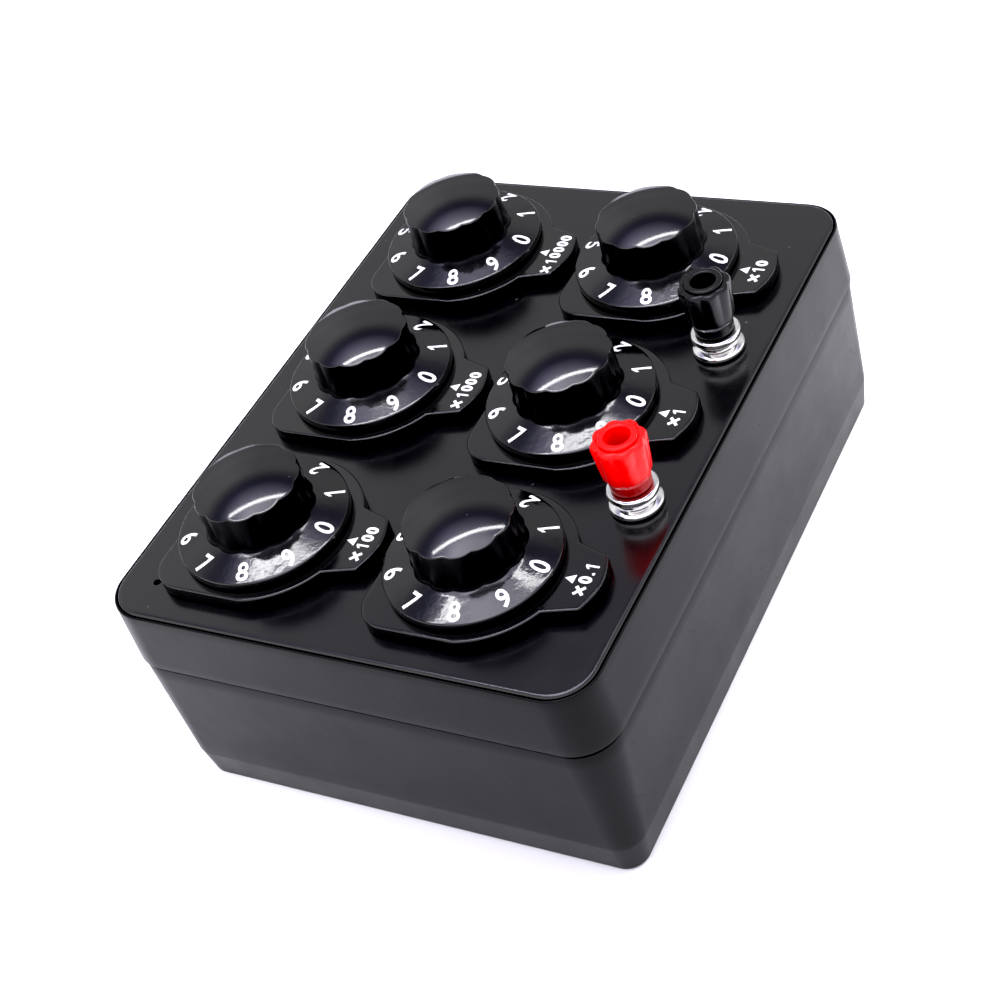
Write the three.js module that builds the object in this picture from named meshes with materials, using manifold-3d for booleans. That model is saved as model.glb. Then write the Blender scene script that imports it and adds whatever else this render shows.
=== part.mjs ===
// Six-decade resistance box: moulded case, top panel with six stud-switch decades and two binding posts.
// Millimetres. X runs along the long side, Y from the operator towards the back, Z up, origin at the centre of the underside.
import * as THREE from 'three';
import { mergeVertices } from 'three/addons/utils/BufferGeometryUtils.js';
import Module from 'manifold-3d';

const wasm = await Module();
wasm.setup();

// ---- driving dimensions ----
const GAP = 0.3;                 // clearance between touching pieces
const PANEL_TOP = 57.9;          // height of the panel face
const PANEL_HX = 76.1, PANEL_HY = 57.5;     // half size of the panel plate
const CORNER_R = 9.2;            // plan radius of the case corners
const PART_Z = 41.0;             // parting line between the two case halves
const LID_HX = 77.0, LID_HY = 59.2;         // half size at the parting line
const RIM_Z = 57.4;              // top of the upper case rim
const COLS = [-49.1, -1.0, 47.0];           // decade columns
const ROWS = [29.1, -22.5];                 // decade rows
const POSTS = { red: [-24.2, -47.3], black: [24.2, -46.4] };
const BOSS_X = 68.2, BOSS_Y = 49.8;         // corner screw bosses
const DIAL_R = 19.0;             // knob skirt radius
const DIAL_RIM_Z = 5.6;          // top edge of the skirt rim above the panel
const KNOB_TOP = 19.2;           // crown of the knob above the panel
const PLATE_T = 3.0;             // thickness of a dial plate
const SHAFT_R = 3.0, BUSH_R = 4.5;
const STUD_RING_R = 12.0, CHAIN_R = 18.4;

// ---- helpers ----
function solid(geometry) {
  let g = geometry.clone();
  g.deleteAttribute('normal');
  g.deleteAttribute('uv');
  g = mergeVertices(g, 1e-4);
  const p = g.attributes.position.array, idx = g.index.array, tri = [];
  for (let i = 0; i < idx.length; i += 3) {
    const [a, b, c] = [idx[i], idx[i + 1], idx[i + 2]];
    if (a !== b && b !== c && a !== c) tri.push(a, b, c);
  }
  let v = 0;
  for (let i = 0; i < tri.length; i += 3) {
    const [a, b, c] = [tri[i] * 3, tri[i + 1] * 3, tri[i + 2] * 3];
    v += p[a] * (p[b + 1] * p[c + 2] - p[b + 2] * p[c + 1])
      - p[a + 1] * (p[b] * p[c + 2] - p[b + 2] * p[c])
      + p[a + 2] * (p[b] * p[c + 1] - p[b + 1] * p[c]);
  }
  if (v < 0) for (let i = 0; i < tri.length; i += 3) [tri[i], tri[i + 1]] = [tri[i + 1], tri[i]];
  return new wasm.Manifold(new wasm.Mesh({
    numProp: 3, vertProperties: new Float32Array(p), triVerts: new Uint32Array(tri),
  }));
}
function toGeometry(m) {
  const mesh = m.getMesh(), g = new THREE.BufferGeometry();
  g.setAttribute('position', new THREE.BufferAttribute(new Float32Array(mesh.vertProperties), 3));
  g.setIndex(new THREE.BufferAttribute(new Uint32Array(mesh.triVerts), 1));
  g.computeVertexNormals();
  return g;
}
// solid of revolution about Z from [r, z] pairs
function lathe(profile, segments) {
  return solid(new THREE.LatheGeometry(profile.map(([r, z]) => new THREE.Vector2(r, z)), segments).rotateX(Math.PI / 2));
}
function cyl(r, z0, z1, segments, x = 0, y = 0) {
  return solid(new THREE.CylinderGeometry(r, r, z1 - z0, segments).rotateX(Math.PI / 2).translate(x, y, (z0 + z1) / 2));
}
function box(x0, x1, y0, y1, z0, z1) {
  return solid(new THREE.BoxGeometry(x1 - x0, y1 - y0, z1 - z0).translate((x0 + x1) / 2, (y0 + y1) / 2, (z0 + z1) / 2));
}
function prism(points, z0, z1) {
  const shape = new THREE.Shape(points.map(([x, y]) => new THREE.Vector2(x, y)));
  return solid(new THREE.ExtrudeGeometry(shape, { depth: z1 - z0, bevelEnabled: false }).translate(0, 0, z0));
}
// rounded rectangle that changes size with height; levels are [z, halfX, halfY] with a corner radius where it changes
function roundedBlock(r, levels, curveSegments = 4) {
  const [, hx, hy] = levels[0];
  const s = new THREE.Shape();
  s.moveTo(-hx + r, -hy);
  s.lineTo(hx - r, -hy);
  s.absarc(hx - r, -hy + r, r, -Math.PI / 2, 0);
  s.lineTo(hx, hy - r);
  s.absarc(hx - r, hy - r, r, 0, Math.PI / 2);
  s.lineTo(-hx + r, hy);
  s.absarc(-hx + r, hy - r, r, Math.PI / 2, Math.PI);
  s.lineTo(-hx, -hy + r);
  s.absarc(-hx + r, -hy + r, r, Math.PI, Math.PI * 1.5);
  const n = levels.length - 1;
  const g = new THREE.ExtrudeGeometry(s, { depth: n, steps: n, bevelEnabled: false, curveSegments });
  const p = g.attributes.position;
  for (let i = 0; i < p.count; i++) {
    const [z, ax, ay, r2 = r] = levels[Math.round(p.getZ(i))];
    const sx = Math.sign(p.getX(i)), sy = Math.sign(p.getY(i));
    const dx = (p.getX(i) - sx * (hx - r)) / r, dy = (p.getY(i) - sy * (hy - r)) / r;
    p.setXYZ(i, sx * (ax - r2) + dx * r2, sy * (ay - r2) + dy * r2, z);
  }
  return solid(g);
}
const polar = (r, deg) => [r * Math.cos(deg * Math.PI / 180), r * Math.sin(deg * Math.PI / 180)];
function moved(geometryMaker, x, y, z, rotZ) {
  const g = geometryMaker();
  if (rotZ) g.rotateZ(rotZ);
  return solid(g.translate(x, y, z));
}
const corners = [[-1, -1], [1, -1], [1, 1], [-1, 1]];
// diagonal rib that ties a corner boss to the case wall
function rib(i, j, z0, z1) {
  return moved(() => new THREE.BoxGeometry(7.6, 3, z1 - z0).translate(3.8, 0, 0), i * BOSS_X, j * BOSS_Y, (z0 + z1) / 2, Math.atan2(j, i));
}

// ---- materials ----
const mat = (color, roughness, metalness = 0) => new THREE.MeshStandardMaterial({ color, roughness, metalness });
const M = {
  caseBlack: mat(0x17171a, 0.42), panelBlack: mat(0x141416, 0.38), plateBlack: mat(0x121215, 0.3),
  knobBlack: mat(0x09090b, 0.16), chrome: mat(0xd8d8dc, 0.12, 1), brass: mat(0xc79a45, 0.3, 1),
  steel: mat(0x9a9ca0, 0.35, 1), phenolic: mat(0x5a3218, 0.55), resistor: mat(0x5f8fa8, 0.45),
  red: mat(0xe01212, 0.3), black: mat(0x0b0b0d, 0.25),
};
const root = new THREE.Group();
function node(name, manifold, material, parent = root) {
  const mesh = new THREE.Mesh(toGeometry(manifold), material);
  mesh.name = name;
  parent.add(mesh);
  return mesh;
}

// ---- top panel ----
{
  let p = roundedBlock(CORNER_R, [[PANEL_TOP - 2, PANEL_HX, PANEL_HY], [PANEL_TOP - 0.8, PANEL_HX, PANEL_HY], [PANEL_TOP, PANEL_HX - 0.9, PANEL_HY - 0.9, CORNER_R - 0.9]]);
  p = p.add(roundedBlock(CORNER_R - 1, [[PANEL_TOP - 3.4, PANEL_HX - 1.1, PANEL_HY - 1.1], [PANEL_TOP - 1.5, PANEL_HX - 1.1, PANEL_HY - 1.1]]));
  for (const x of COLS) for (const y of ROWS) p = p.subtract(cyl(BUSH_R + 0.45, 50, 65, 14, x, y));
  for (const [x, y] of Object.values(POSTS)) p = p.subtract(cyl(2.45, 50, 65, 12, x, y));
  p = p.subtract(cyl(0.8, 50, 65, 8, -66.4, 48.8));
  node('panel_plate', p, M.panelBlack);
}

// ---- upper case: a drafted frame that carries the panel on an inner ledge ----
{
  const outer = roundedBlock(10, [[PART_Z, LID_HX, LID_HY], [RIM_Z, PANEL_HX + 0.75, PANEL_HY + 0.75, CORNER_R + 0.75]]);
  let c = outer.subtract(roundedBlock(6.6, [[30, 75.0, 57.0], [51.6, 74.8, 56.6]]));
  c = c.subtract(roundedBlock(6, [[40, 73.2, 54.2], [65, 73.2, 54.2]]));
  c = c.subtract(roundedBlock(CORNER_R - 0.8, [[54.2, PANEL_HX - 0.8, PANEL_HY - 0.8], [65, PANEL_HX - 0.8, PANEL_HY - 0.8]]));
  c = c.subtract(roundedBlock(CORNER_R + 0.25, [[55.6, PANEL_HX + 0.25, PANEL_HY + 0.25], [65, PANEL_HX + 0.25, PANEL_HY + 0.25]]));
  for (const [i, j] of corners) {
    c = c.add(cyl(4.0, 41.6, 54.0, 12, i * BOSS_X, j * BOSS_Y));
    c = c.add(rib(i, j, 43.0, 53.1).intersect(outer));
  }
  for (const [i, j] of corners) c = c.subtract(cyl(1.8, 40.6, 50, 8, i * BOSS_X, j * BOSS_Y));
  node('upper_case', c, M.caseBlack);
}

// ---- lower case: tray with a bevelled foot band, a locating tongue and four counterbored pillars ----
{
  const outer = roundedBlock(CORNER_R, [[0, 74.3, 56.0, 4.8], [8.5, 75.5, 57.2, 6.0], [PART_Z - GAP, 76.55, 58.6, CORNER_R]]);
  let c = outer.subtract(roundedBlock(6.6, [[2.8, 73.0, 54.7, 4.5], [60, 74.5, 56.4, 7.0]]));
  let tongue = roundedBlock(7.0, [[36.6, 74.4, 56.2], [42.5, 74.4, 56.2]]);
  tongue = tongue.subtract(roundedBlock(4.8, [[30, 73.0, 54.7], [45, 73.0, 54.7]]));
  c = c.add(tongue);
  for (const [i, j] of corners) {
    c = c.add(cyl(5, 1, PART_Z + GAP, 12, i * BOSS_X, j * BOSS_Y).intersect(outer.add(cyl(5, 20, PART_Z + GAP, 12, i * BOSS_X, j * BOSS_Y))));
    c = c.add(rib(i, j, 1, 32).intersect(outer));
  }
  for (const [i, j] of corners) {
    c = c.subtract(cyl(3.3, -1, 26, 12, i * BOSS_X, j * BOSS_Y));
    c = c.subtract(cyl(1.8, 20, 45, 8, i * BOSS_X, j * BOSS_Y));
  }
  node('lower_case', c, M.caseBlack);
}
corners.forEach(([i, j], n) => {
  const g = new THREE.Group();
  g.position.set(i * BOSS_X, j * BOSS_Y, 0);
  root.add(g);
  const s = lathe([[0, 23.6], [2.6, 23.6], [2.8, 24.2], [2.8, 25.7], [1.45, 25.7], [1.45, 48.2], [0, 49.2]], 10);
  node(`case_screw_${n + 1}`, s, M.steel, g);
});

// ---- one decade ----
const platePoints = (() => {
  const pts = [[20.65, 11.6], [20.65, -4.8]];                                              // right side
  for (let a = -24; a >= -60; a -= 12) { const [x, y] = polar(21.2, a); pts.push([x, y - 0.6]); }      // right lower arc
  pts.push([9.3, -20.3], [7.3, -26.9]);
  for (let k = 1; k <= 3; k++) pts.push([7.3 - 3.65 * k, -26.9 - 1.8 * Math.sin(Math.PI * k / 4)]);
  pts.push([-7.3, -26.9], [-9.3, -20.3]);
  for (let a = -120; a >= -156; a -= 12) { const [x, y] = polar(21.2, a); pts.push([x, y - 0.6]); }    // left lower arc
  pts.push([-20.65, -4.8], [-20.65, 11.6]);                                                // left side
  for (let a = 157.5; a >= 90; a -= 22.5) { const [x, y] = polar(7.55, a); pts.push([-13.1 + x, 11.6 + y]); }
  for (let a = 90; a >= 22.5; a -= 22.5) { const [x, y] = polar(7.55, a); pts.push([13.1 + x, 11.6 + y]); }
  return pts;
})();
// outline of nine flat resistors joined by their tails, seen from above
const chainPoints = (() => {
  const outer = [], inner = [];
  for (let k = 0; k < 9; k++) {
    const a = -72 + 36 * k, t = (a + 90) * Math.PI / 180;
    const at = (u, v) => { const [cx, cy] = polar(CHAIN_R + v, a); return [cx + u * Math.cos(t), cy + u * Math.sin(t)]; };
    const h = (CHAIN_R) * Math.tan(Math.PI / 10);
    if (k === 0) { outer.push(at(-h, 0.4)); inner.push(at(-h, -0.4)); }
    outer.push(at(-3.6, 0.4), at(-3.6, 1.8), at(3.6, 1.8), at(3.6, 0.4));
    inner.push(at(-3.6, -0.4), at(-3.6, -1.8), at(3.6, -1.8), at(3.6, -0.4));
    if (k === 8) { outer.push(at(h, 0.4)); inner.push(at(h, -0.4)); }
  }
  return outer.concat(inner.reverse());
})();
function decade(name, x, y) {
  const g = new THREE.Group();
  g.position.set(x, y, PANEL_TOP);
  root.add(g);
  // knob with its figured skirt: hollow under the skirt, D-shaped blind bore
  let knob = lathe([[0, KNOB_TOP], [4.5, 18.7], [8.5, 17.45], [11.2, 16.35], [11.75, 15.6], [12.05, 7.55], [DIAL_R, DIAL_RIM_Z], [DIAL_R, 3.65], [17.7, 3.65], [17.7, 4.7], [9.4, 5.9], [0, 5.9]], 24);
  const bore = cyl(SHAFT_R + 0.35, 4, 14.7, 12).subtract(box(SHAFT_R - 0.5, 9, -9, 9, 7.6, 20));
  knob = knob.subtract(bore);
  node(`knob_${name}`, knob, M.knobBlack, g);
  // fixed plate behind the knob, with a tab for the multiplier
  const plate = prism(platePoints, GAP, GAP + PLATE_T).subtract(cyl(BUSH_R + 0.45, -5, 10, 14));
  node(`dial_plate_${name}`, plate, M.plateBlack, g);
  node(`bush_nut_${name}`, cyl(7.1, 3.6, 5.5, 6).subtract(cyl(BUSH_R + 0.35, 0, 6, 12)), M.chrome, g);
  // moulded switch body: threaded bush above, ten contact studs below
  let body = cyl(16, -8.7, -3.7, 18).add(cyl(BUSH_R, -4, 5.5, 12));
  for (let k = 0; k < 10; k++) {
    const [sx, sy] = polar(STUD_RING_R, -90 + 36 * k);
    body = body.add(cyl(1.8, -10.2, -8, 4, sx, sy));
  }
  body = body.subtract(cyl(SHAFT_R + 0.4, -12, 8, 12));
  node(`switch_body_${name}`, body, M.phenolic, g);
  const shaft = cyl(SHAFT_R, -12.6, 14.3, 12).subtract(box(SHAFT_R - 0.8, 9, -9, 9, 7.2, 20));
  node(`switch_shaft_${name}`, shaft, M.steel, g);
  // wiper arm that sweeps the studs, pointing at stud 0 at rest
  let wiper = cyl(5, -11.8, -10.5, 12).add(prism([[-2, 0], [-1.5, -13.4], [1.5, -13.4], [2, 0]], -11.8, -10.5));
  wiper = wiper.subtract(cyl(SHAFT_R + 0.4, -20, 0, 12));
  node(`wiper_${name}`, wiper, M.brass, g);
  // nine resistors soldered end to end round the studs
  node(`resistor_chain_${name}`, prism(chainPoints, -7.7, -4.7), M.resistor, g);
}
decade('hundreds', COLS[0], ROWS[0]);
decade('thousands', COLS[1], ROWS[0]);
decade('ten_thousands', COLS[2], ROWS[0]);
decade('tenths', COLS[0], ROWS[1]);
decade('units', COLS[1], ROWS[1]);
decade('tens', COLS[2], ROWS[1]);

// ---- binding posts ----
function post(name, material) {
  const g = new THREE.Group();
  g.position.set(...POSTS[name], PANEL_TOP);
  root.add(g);
  // turned stud: flange, waist, hollow threaded body with a 4 mm socket, tail through the panel
  const stud = lathe([[0, -11.5], [2.0, -11.5], [2.0, GAP], [5.9, GAP], [5.9, 1.3], [4.3, 1.9], [4.3, 3.5], [3.0, 3.5], [3.0, 13.0], [2.1, 13.0], [2.1, 3.8], [0, 3.2]], 12);
  node(`post_stud_${name}`, stud, M.chrome, g);
  const washer = lathe([[3.35, 3.8], [5.6, 3.8], [5.6, 5.4], [3.35, 5.4], [3.35, 3.8]], 16);
  node(`clamp_washer_${name}`, washer, M.chrome, g);
  // thumb nut: smooth neck, lobed grip, raised ring round the socket mouth
  const lobes = (big, small) => {
    const pts = [];
    for (let k = 0; k < 8; k++) for (const [r, o] of [[big, -9], [big, 9], [small, 22.5]]) pts.push(polar(r, 45 * k + o));
    return pts;
  };
  let nut = cyl(4.5, 5.7, 9.4, 16).add(prism(lobes(5.6, 5.0), 9, 13.6)).add(prism(lobes(5.95, 5.3), 13.4, 18.5)).add(cyl(4.3, 17, 19.1, 16));
  nut = nut.subtract(cyl(3.4, 0, 13.6, 12)).subtract(cyl(2.75, 10, 30, 16));
  node(`thumb_nut_${name}`, nut, material, g);
  node(`solder_tag_${name}`, cyl(4, -4.2, -3.7, 12).add(prism([[-1.6, 0], [1.6, 0], [1.2, 12], [-1.2, 12]], -4.2, -3.7)).subtract(cyl(2.4, -20, 20, 8)), M.brass, g);
  node(`stud_nut_${name}`, cyl(4.0, -7.7, -4.5, 6).subtract(cyl(2.4, -20, 20, 8)), M.steel, g);
}
post('red', M.red);
post('black', M.black);

export default root;
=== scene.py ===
import math
import bpy
import bmesh
from mathutils import Matrix, Vector


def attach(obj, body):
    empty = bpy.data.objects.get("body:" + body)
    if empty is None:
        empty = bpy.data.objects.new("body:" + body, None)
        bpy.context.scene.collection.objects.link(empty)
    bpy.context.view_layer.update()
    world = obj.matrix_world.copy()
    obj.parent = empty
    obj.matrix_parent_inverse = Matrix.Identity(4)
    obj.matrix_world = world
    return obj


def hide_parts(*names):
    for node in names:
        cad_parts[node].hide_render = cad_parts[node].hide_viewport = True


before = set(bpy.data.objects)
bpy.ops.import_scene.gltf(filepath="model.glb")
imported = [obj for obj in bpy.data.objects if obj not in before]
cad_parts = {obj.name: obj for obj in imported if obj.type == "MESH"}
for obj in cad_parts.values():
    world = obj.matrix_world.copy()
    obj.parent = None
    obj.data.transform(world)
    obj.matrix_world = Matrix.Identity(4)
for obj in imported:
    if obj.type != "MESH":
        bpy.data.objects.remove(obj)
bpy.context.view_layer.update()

SCENE = bpy.context.scene
COLL = SCENE.collection
MM = 0.001

# ---------------------------------------------------------------- dimensions, mm
PANEL_TOP = 57.9
PANEL_HX, PANEL_HY = 76.1, 57.5
PART_Z = 41.0
COLS = (-49.1, -1.0, 47.0)
ROWS = (29.1, -22.5)
POSTS = {"red": (-24.2, -47.3), "black": (24.2, -46.4)}
BOSS = (68.2, 49.8)
DECADES = {
    "hundreds": (COLS[0], ROWS[0], "×100", -3.5),
    "thousands": (COLS[1], ROWS[0], "×1000", -4.85),
    "ten_thousands": (COLS[2], ROWS[0], "×10000", -5.65),
    "tenths": (COLS[0], ROWS[1], "×0.1", -2.3),
    "units": (COLS[1], ROWS[1], "×1", -1.7),
    "tens": (COLS[2], ROWS[1], "×10", -2.2),
}

# ---------------------------------------------------------------- material helpers


class Mat:
    """A node material with a Principled shader and object coordinates."""

    def __init__(self, name, base, rough, metal=0.0, spec=0.5, ior=1.5, coat=0.0, coat_rough=0.05):
        self.m = bpy.data.materials.new(name)
        self.m.use_nodes = True
        self.t = self.m.node_tree
        self.t.nodes.clear()
        self.out = self.t.nodes.new("ShaderNodeOutputMaterial")
        self.b = self.t.nodes.new("ShaderNodeBsdfPrincipled")
        self.t.links.new(self.b.outputs[0], self.out.inputs[0])
        self.b.inputs["Base Color"].default_value = (*base, 1)
        self.b.inputs["Roughness"].default_value = rough
        self.b.inputs["Metallic"].default_value = metal
        self.b.inputs["Specular IOR Level"].default_value = spec
        self.b.inputs["IOR"].default_value = ior
        self.b.inputs["Coat Weight"].default_value = coat
        self.b.inputs["Coat Roughness"].default_value = coat_rough
        self.co = self.t.nodes.new("ShaderNodeTexCoord").outputs["Object"]
        self.normal = None
        self.m.diffuse_color = (*base, 1)

    def node(self, kind, **values):
        n = self.t.nodes.new("ShaderNode" + kind)
        for k, v in values.items():
            if k in n.inputs:
                n.inputs[k].default_value = v
            else:
                setattr(n, k, v)
        return n

    def link(self, a, b):
        self.t.links.new(a, b)

    def mapped(self, scale=(1, 1, 1), rot=(0, 0, 0), loc=(0, 0, 0)):
        n = self.node("Mapping")
        n.inputs["Scale"].default_value = scale
        n.inputs["Rotation"].default_value = rot
        n.inputs["Location"].default_value = loc
        self.link(self.co, n.inputs["Vector"])
        return n.outputs[0]

    def noise(self, scale, detail=3.0, rough=0.55, distort=0.0, vec=None):
        n = self.node("TexNoise")
        n.inputs["Scale"].default_value = scale
        n.inputs["Detail"].default_value = detail
        n.inputs["Roughness"].default_value = rough
        n.inputs["Distortion"].default_value = distort
        self.link(vec if vec is not None else self.co, n.inputs["Vector"])
        return n.outputs["Fac"]

    def remap(self, src, a, b, c, d):
        n = self.node("MapRange")
        n.inputs["From Min"].default_value = a
        n.inputs["From Max"].default_value = b
        n.inputs["To Min"].default_value = c
        n.inputs["To Max"].default_value = d
        n.clamp = True
        self.link(src, n.inputs["Value"])
        return n.outputs[0]

    def ramp(self, src, stops):
        n = self.node("ValToRGB")
        e = n.color_ramp.elements
        while len(e) < len(stops):
            e.new(0.5)
        for el, (p, c) in zip(e, stops):
            el.position = p
            el.color = (*c, 1)
        self.link(src, n.inputs[0])
        return n.outputs[0]

    def math(self, op, a, b=None):
        n = self.node("Math")
        n.operation = op
        for i, v in enumerate((a, b)):
            if v is None:
                continue
            if isinstance(v, (int, float)):
                n.inputs[i].default_value = v
            else:
                self.link(v, n.inputs[i])
        return n.outputs[0]

    def mix(self, fac, a, b):
        n = self.node("Mix")
        n.data_type = "RGBA"
        if isinstance(fac, (int, float)):
            n.inputs[0].default_value = fac
        else:
            self.link(fac, n.inputs[0])
        for i, v in ((6, a), (7, b)):
            if isinstance(v, tuple):
                n.inputs[i].default_value = (*v, 1)
            else:
                self.link(v, n.inputs[i])
        return n.outputs[2]

    def bump(self, height, strength, distance):
        n = self.node("Bump")
        n.inputs["Strength"].default_value = strength
        n.inputs["Distance"].default_value = distance
        self.link(height, n.inputs["Height"])
        if self.normal is not None:
            self.link(self.normal, n.inputs["Normal"])
        self.normal = n.outputs[0]
        self.link(self.normal, self.b.inputs["Normal"])

    def color(self, src):
        self.link(src, self.b.inputs["Base Color"])

    def rough(self, src):
        self.link(src, self.b.inputs["Roughness"])

    def specks(self, scale, size, amount):
        """0..1 mask of sparse small dots."""
        v = self.node("TexVoronoi")
        v.inputs["Scale"].default_value = scale
        self.link(self.co, v.inputs["Vector"])
        dot = self.remap(v.outputs["Distance"], size * 0.4, size, 1.0, 0.0)
        s = self.node("SeparateColor")
        self.link(v.outputs["Color"], s.inputs[0])
        pick = self.math("GREATER_THAN", s.outputs[0], 1.0 - amount)
        return self.math("MULTIPLY", dot, pick)

    def scratches(self, rot, scale, width, level):
        """0..1 mask of thin broken lines."""
        w = self.node("TexWave")
        w.wave_type = "BANDS"
        w.bands_direction = "X"
        w.inputs["Scale"].default_value = scale
        w.inputs["Distortion"].default_value = 1.3
        w.inputs["Detail"].default_value = 2.0
        w.inputs["Detail Scale"].default_value = 0.6
        self.link(self.mapped(rot=rot), w.inputs["Vector"])
        line = self.remap(w.outputs["Fac"], 1.0 - width, 1.0, 0.0, 1.0)
        gate = self.remap(self.noise(70, 2.0), level, level + 0.04, 0.0, 1.0)
        return self.math("MULTIPLY", line, gate)


def mat_case(name, lift=0.0):
    k = Mat(name, (0.0015, 0.0015, 0.0016), 0.33, spec=0.10)
    cloud = k.noise(28, 4.0, 0.6)
    k.color(k.mix(k.specks(420, 0.14, 0.03),
                  k.ramp(cloud, [(0.3, (0.0010 + lift,) * 3), (0.7, (0.0022 + lift, 0.0022 + lift, 0.0024 + lift))]),
                  (0.03, 0.03, 0.032)))
    scr = k.scratches((0.2, 0.5, 0.9), 38, 0.012, 0.60)
    k.rough(k.math("ADD", k.remap(k.noise(90, 5.0, 0.65), 0.3, 0.7, 0.27, 0.37), k.math("MULTIPLY", scr, 0.06)))
    k.bump(k.noise(2600, 3.0, 0.6), 0.20, 0.00004)
    k.bump(k.noise(45, 2.0, 0.5), 0.16, 0.0007)
    return k.m


def mat_panel(name):
    k = Mat(name, (0.0015, 0.0015, 0.0016), 0.18, spec=0.55)
    cloud = k.noise(40, 4.0, 0.6)
    k.color(k.mix(k.specks(300, 0.13, 0.05),
                  k.ramp(cloud, [(0.3, (0.0008, 0.0008, 0.0009)), (0.7, (0.0020, 0.0020, 0.0022))]),
                  (0.045, 0.045, 0.047)))
    scr = k.scratches((0.1, 0.0, 0.35), 30, 0.010, 0.62)
    k.rough(k.math("ADD", k.remap(k.noise(120, 5.0, 0.65), 0.3, 0.7, 0.155, 0.215), k.math("MULTIPLY", scr, 0.05)))
    k.bump(k.noise(1500, 3.0, 0.6), 0.12, 0.00003)
    k.bump(k.noise(38, 2.0, 0.5), 0.10, 0.0004)
    return k.m


def mat_plate(name):
    k = Mat(name, (0.0012, 0.0012, 0.0013), 0.12, spec=0.57)
    k.color(k.mix(k.specks(380, 0.13, 0.03),
                  k.ramp(k.noise(60, 4.0, 0.6), [(0.3, (0.0007, 0.0007, 0.0008)), (0.7, (0.0018, 0.0018, 0.0020))]),
                  (0.035, 0.035, 0.037)))
    k.rough(k.remap(k.noise(150, 5.0, 0.65), 0.3, 0.7, 0.09, 0.15))
    k.bump(k.noise(1900, 3.0, 0.6), 0.14, 0.00003)
    return k.m


def mat_plate_edge(name):
    k = Mat(name, (0.0005, 0.0005, 0.0006), 0.3, spec=0.16)
    k.color(k.ramp(k.noise(90, 4.0, 0.6), [(0.3, (0.0004, 0.0004, 0.0005)), (0.7, (0.0009, 0.0009, 0.0011))]))
    k.rough(k.remap(k.noise(240, 4.0, 0.65), 0.3, 0.7, 0.24, 0.34))
    k.bump(k.noise(2100, 3.0, 0.6), 0.18, 0.00003)
    return k.m


def mat_knob(name, rough_lo, rough_hi, ripple, tint=0.0):
    k = Mat(name, (0.0006, 0.0006, 0.0008), rough_lo)
    k.color(k.mix(k.specks(520, 0.12, 0.03),
                  k.ramp(k.noise(55, 3.0, 0.6), [(0.3, (0.0004 + tint, 0.0004 + tint, 0.0006 + tint)), (0.7, (0.0010 + tint, 0.0010 + tint, 0.0014 + tint))]),
                  (0.035, 0.035, 0.038)))
    k.rough(k.remap(k.noise(160, 5.0, 0.65), 0.3, 0.72, rough_lo, rough_hi))
    if ripple:
        k.bump(k.noise(520, 2.0, 0.6, 0.4), 0.5, ripple)
    k.bump(k.noise(2800, 2.0, 0.5), 0.12, 0.00002)
    return k.m


def mat_grip(name):
    k = Mat(name, (0.0004, 0.0004, 0.0006), 0.36, spec=0.05)
    k.color(k.ramp(k.noise(80, 4.0, 0.6), [(0.3, (0.0003, 0.0003, 0.0004)), (0.7, (0.0007, 0.0007, 0.0010))]))
    k.rough(k.remap(k.noise(240, 4.0, 0.65), 0.3, 0.7, 0.31, 0.42))
    k.bump(k.noise(2400, 3.0, 0.6), 0.2, 0.00003)
    return k.m


def mat_metal(name, lo, hi, r0, r1, grain=(1, 1, 1), gscale=900, bump=0.00002):
    k = Mat(name, lo, r0, 1.0)
    k.color(k.ramp(k.noise(260, 4.0, 0.6), [(0.35, lo), (0.65, hi)]))
    g = k.noise(gscale, 3.0, 0.6, vec=k.mapped(scale=grain))
    k.rough(k.remap(g, 0.3, 0.7, r0, r1))
    k.bump(g, 0.25, bump)
    return k.m


def mat_plastic(name, lo, hi, r0, r1, speck=None, spec=0.5):
    k = Mat(name, lo, r0, spec=spec)
    c = k.ramp(k.noise(120, 4.0, 0.6), [(0.3, lo), (0.7, hi)])
    if speck:
        c = k.mix(k.specks(600, 0.14, 0.04), c, speck)
    k.color(c)
    k.rough(k.remap(k.noise(300, 4.0, 0.6), 0.3, 0.7, r0, r1))
    k.bump(k.noise(1700, 3.0, 0.6), 0.16, 0.00004)
    return k.m


def mat_red(name):
    """Translucent red plastic, with painted shade that darkens the colour towards the neck, under the grip."""
    k = Mat(name, (0.90, 0.0008, 0.001), 0.28, spec=0.24)
    k.b.inputs["Subsurface Weight"].default_value = 0.55
    k.b.inputs["Subsurface Radius"].default_value = (1.0, 0.06, 0.05)
    k.b.inputs["Subsurface Scale"].default_value = 0.0028
    s = k.node("SeparateXYZ")
    k.link(k.co, s.inputs[0])
    # painted shade: this mask is 0 at the neck and rises to 1 up the grip
    up = k.remap(s.outputs["Z"], (PANEL_TOP + 7.2) * MM, (PANEL_TOP + 11.8) * MM, 0.0, 1.0)
    body = k.ramp(k.noise(120, 4.0, 0.6), [(0.3, (0.84, 0.0006, 0.0008)), (0.7, (0.93, 0.0012, 0.0014))])
    # the dark red here is painted shade for the neck under the grip's overhang, not a deeper colour of the plastic
    k.color(k.mix(up, (0.24, 0.0003, 0.0004), body))
    k.rough(k.remap(k.noise(300, 4.0, 0.6), 0.3, 0.7, 0.24, 0.33))
    k.bump(k.noise(1700, 3.0, 0.6), 0.16, 0.00004)
    return k.m


def mat_phenolic(name):
    k = Mat(name, (0.09, 0.028, 0.009), 0.45)
    fibre = k.noise(210, 6.0, 0.7, 0.6, k.mapped(scale=(1, 5, 2)))
    k.color(k.ramp(fibre, [(0.3, (0.05, 0.014, 0.005)), (0.55, (0.11, 0.034, 0.011)), (0.75, (0.19, 0.075, 0.028))]))
    k.rough(k.remap(fibre, 0.3, 0.7, 0.35, 0.6))
    k.bump(fibre, 0.4, 0.0001)
    return k.m


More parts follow.
